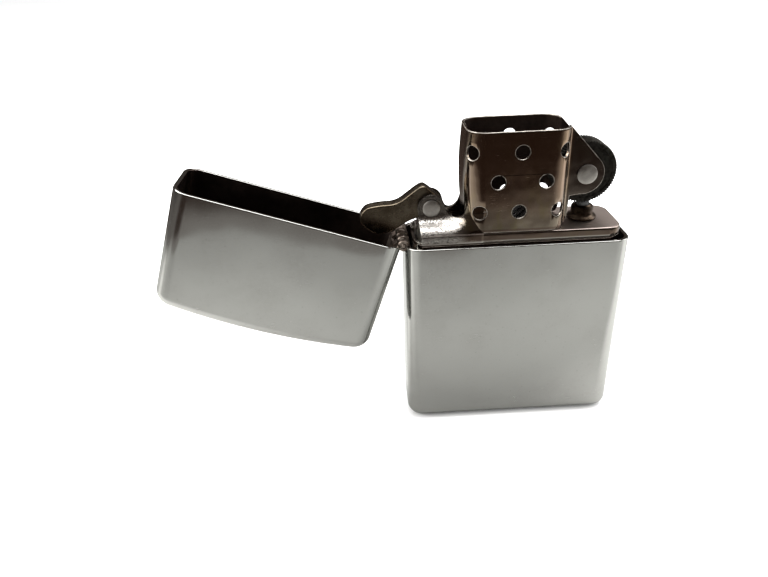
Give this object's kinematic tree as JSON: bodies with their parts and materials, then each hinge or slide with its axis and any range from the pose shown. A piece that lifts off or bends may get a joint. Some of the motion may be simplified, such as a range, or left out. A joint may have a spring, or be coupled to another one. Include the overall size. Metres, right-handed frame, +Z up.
{
  "type": "flip-top lighter",
  "caption": "Pocket wick lighter with a hinged flip lid, a perforated chimney insert, a spark wheel and a snap cam, shown open.",
  "frame": {"origin": "centre of the case's flat base, where the lighter stands", "axes": "+Z up out of the base, +X away from the hinge, so the open lid lies towards -X, +Y to the back"},
  "size_m": [0.0809, 0.0126, 0.0542],
  "materials": {
    "shell_chrome": "polished, faint scratches",
    "hinge_metal": "dull, with grime between the knuckles",
    "insert_metal": "bright plated sheet, brownish where it reflects a dark room",
    "cam_metal": "satin, slightly mottled",
    "rivet_metal": "satin",
    "spring_steel": "bright drawn wire and strip",
    "wheel_metal": "black, cross-cut knurl",
    "tube_brass": "aged, dull",
    "flint_alloy": "matt dark grey",
    "cotton": "matt woven cotton and wadding",
    "felt": "matt felt"
  },
  "bodies": {
    "case": {"case_bottom": "shell_chrome", "hinge_leaf_lower": "hinge_metal", "hinge_pin": "hinge_metal"},
    "lid": {"lid_shell": "shell_chrome", "hinge_leaf_upper": "hinge_metal"},
    "insert": {"insert_tank": "insert_metal", "insert_deck": "insert_metal", "chimney": "insert_metal", "cam_rivet": "rivet_metal", "cam_spring": "spring_steel", "cam_spring_rivet": "rivet_metal", "wheel_rivet": "rivet_metal", "flint_tube": "tube_brass", "wick": "cotton", "packing_1": "cotton", "packing_2": "cotton", "packing_3": "cotton", "packing_4": "cotton", "felt_pad": "felt"},
    "cam": {"cam": "cam_metal"},
    "wheel": {"flint_wheel": "wheel_metal"},
    "flint": {"flint": "flint_alloy", "spring_tip": "tube_brass"},
    "spring_carrier": {"flint_spring": "spring_steel"},
    "screw": {"flint_screw": "tube_brass"}
  },
  "joints": [
    {"name": "lid_hinge", "type": "hinge", "parent": "case", "child": "lid", "pos_m": [-0.0193, 0, 0.0354], "axis": [0, -1, 0], "range_deg": [-161, 0]},
    {"name": "insert_slide", "type": "slide", "parent": "case", "child": "insert", "axis": [0, 0, 1], "range_m": [0, 0.04]},
    {"name": "cam_pivot", "type": "hinge", "parent": "insert", "child": "cam", "pos_m": [-0.01435, 0, 0.041], "axis": [0, -1, 0], "range_deg": [-110, 0]},
    {"name": "wheel_spin", "type": "hinge", "parent": "insert", "child": "wheel", "pos_m": [0.0111, 0, 0.046], "axis": [0, 1, 0], "continuous": true},
    {"name": "flint_feed", "type": "slide", "parent": "insert", "child": "flint", "axis": [0, 0, -1], "range_m": [0, 0.003], "stiffness_N_per_m": 200, "springref_m": -0.005, "deforming": ["flint_spring"]},
    {"name": "screw_travel", "type": "slide", "parent": "insert", "child": "spring_carrier", "axis": [0, 0, -1], "range_m": [0, 0.0005]},
    {"name": "screw_turn", "type": "hinge", "parent": "spring_carrier", "child": "screw", "pos_m": [0.0119, 0, 0.003], "axis": [0, 0, -1], "range_deg": [0, 360]}
  ],
  "couplings": [
    {"joint": "cam_pivot", "follows": "lid_hinge", "ratio": 0.68},
    {"joint": "screw_travel", "follows": "screw_turn", "m_per_rad": 0.0000795}
  ]
}
